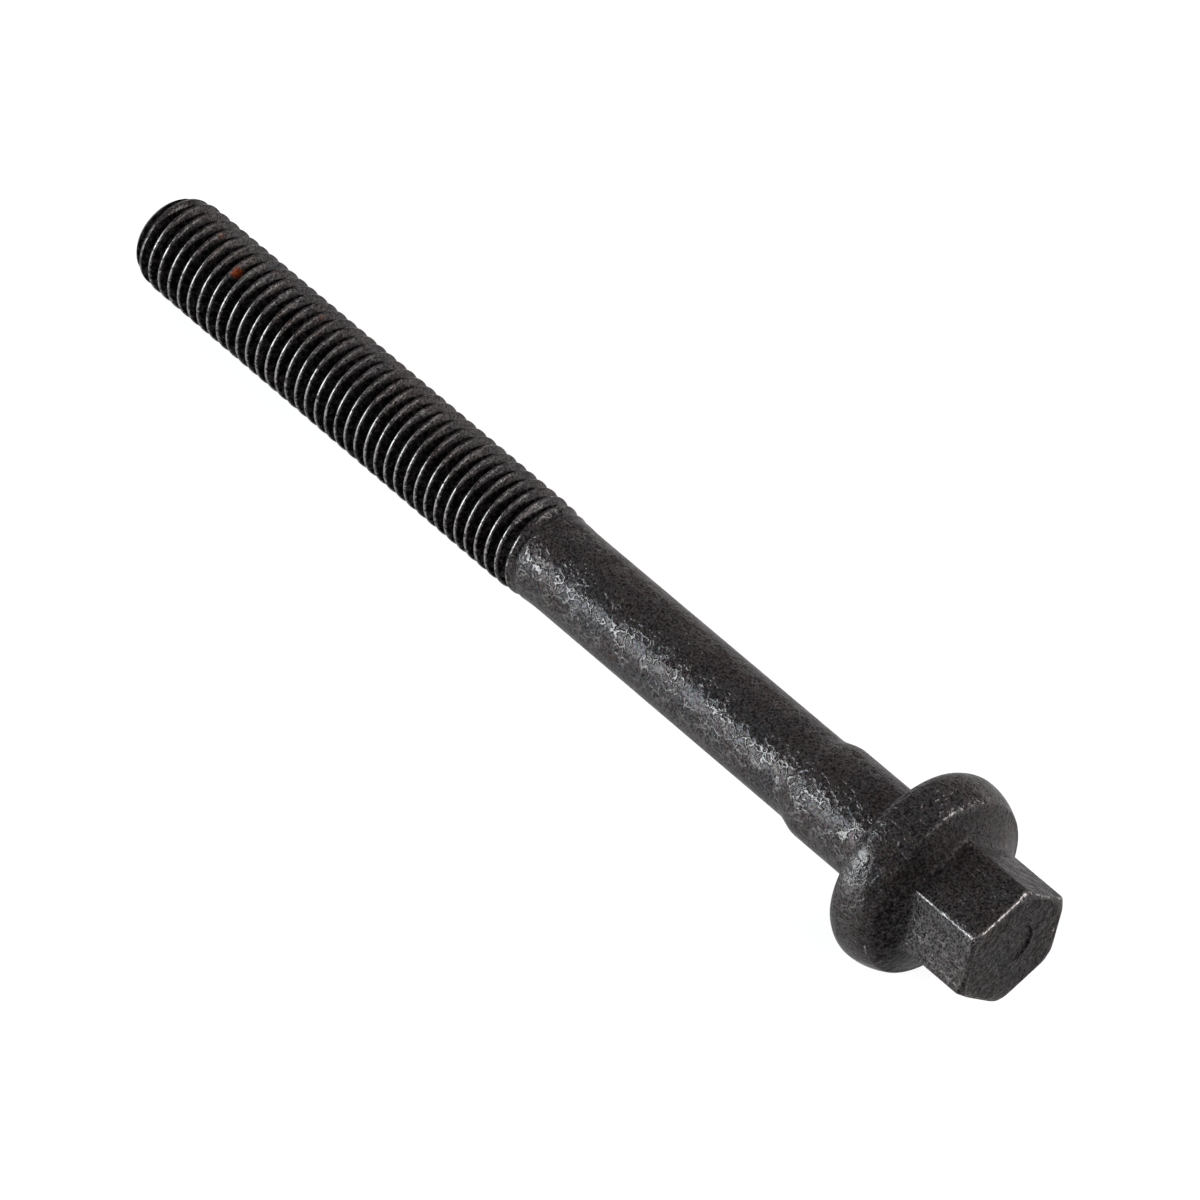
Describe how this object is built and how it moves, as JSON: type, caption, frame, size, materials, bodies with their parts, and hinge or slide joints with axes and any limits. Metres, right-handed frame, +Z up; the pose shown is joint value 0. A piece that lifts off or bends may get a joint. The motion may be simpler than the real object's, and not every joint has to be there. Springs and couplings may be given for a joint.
{
  "type": "flange screw",
  "caption": "Long hexagon head flange screw with a guiding collar, a plain shank and a coarse metric thread, forged from dark phosphated steel.",
  "frame": {"origin": "middle of the bounding box at the floor that the screw lies on", "axes": "+X towards the head, along the floor; +Z up; the screw's own axis rises towards the head by 2.9 degrees, because it rests on the flange's rim and on the crests at the tip"},
  "size_m": [0.1456, 0.0246, 0.0246],
  "materials": {
    "screw": "dark phosphate over forging scale, worn bright on the edges and crests"
  },
  "bodies": {
    "root": {"screw": "screw"}
  },
  "joints": []
}
